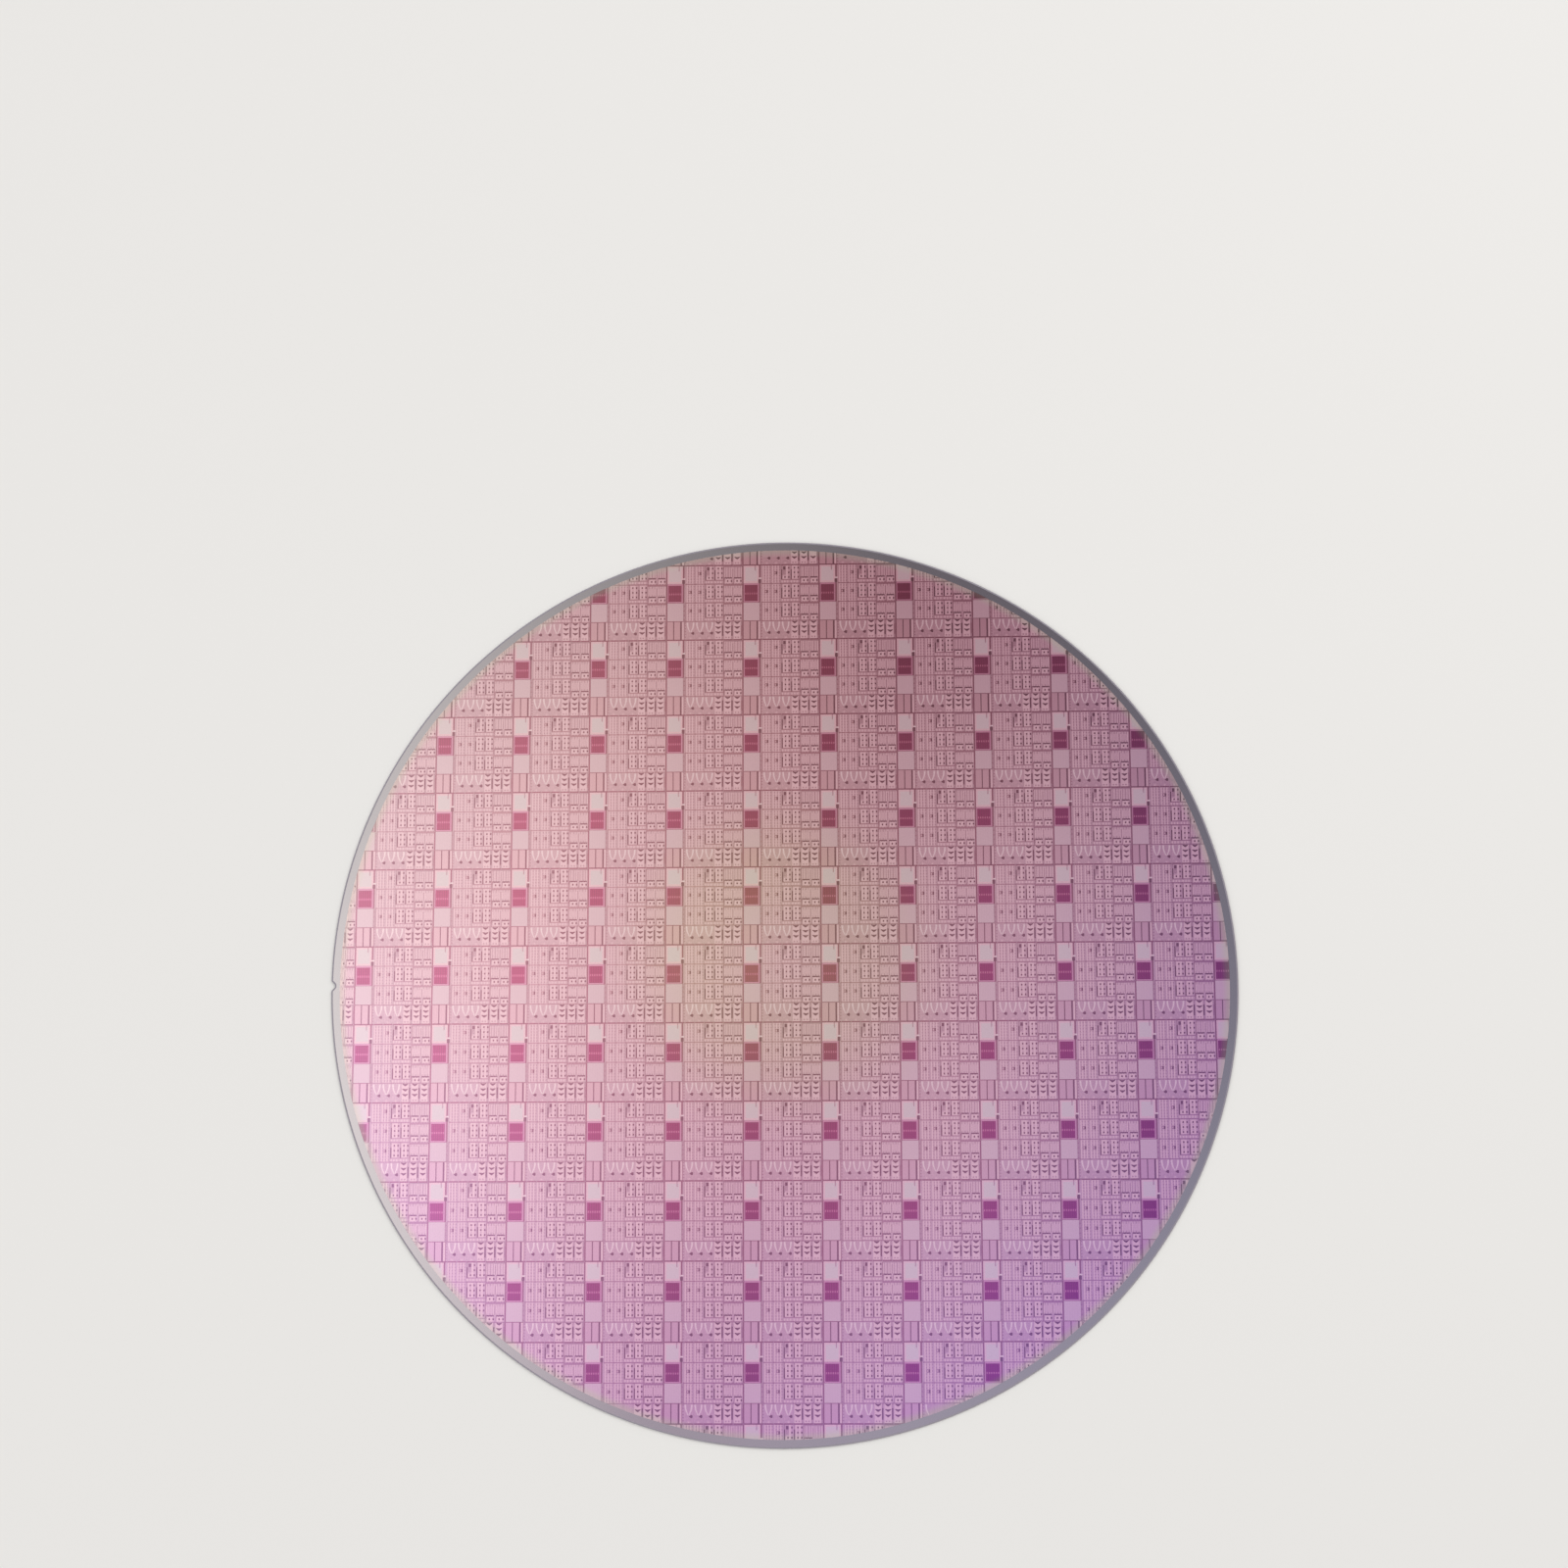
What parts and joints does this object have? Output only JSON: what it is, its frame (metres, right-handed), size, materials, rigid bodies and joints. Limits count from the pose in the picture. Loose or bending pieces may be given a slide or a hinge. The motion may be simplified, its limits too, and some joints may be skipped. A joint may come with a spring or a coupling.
{
  "type": "silicon wafer",
  "caption": "Thin round silicon slice with a bevelled edge and an alignment notch, its front face covered by a repeated grid of circuit blocks.",
  "frame": {"origin": "centre of the back face, which lies on the floor", "axes": "+Z is the front face's outward normal, -X points from the centre to the alignment notch, and +Y lies in the wafer's plane, up the columns of exposure fields"},
  "size_m": [0.3, 0.3, 0.0008],
  "materials": {
    "polished_silicon": "polished crystal",
    "lane_film": "glossy interference film",
    "circuit_film": "glossy interference film",
    "pad_film": "glossy interference film",
    "array_film": "dense grating under a glossy film"
  },
  "bodies": {
    "root": {"silicon_wafer": "polished_silicon", "blanket_film": "lane_film", "circuit_blocks": "circuit_film", "test_pads": "pad_film", "array_blocks": "array_film"}
  },
  "joints": []
}
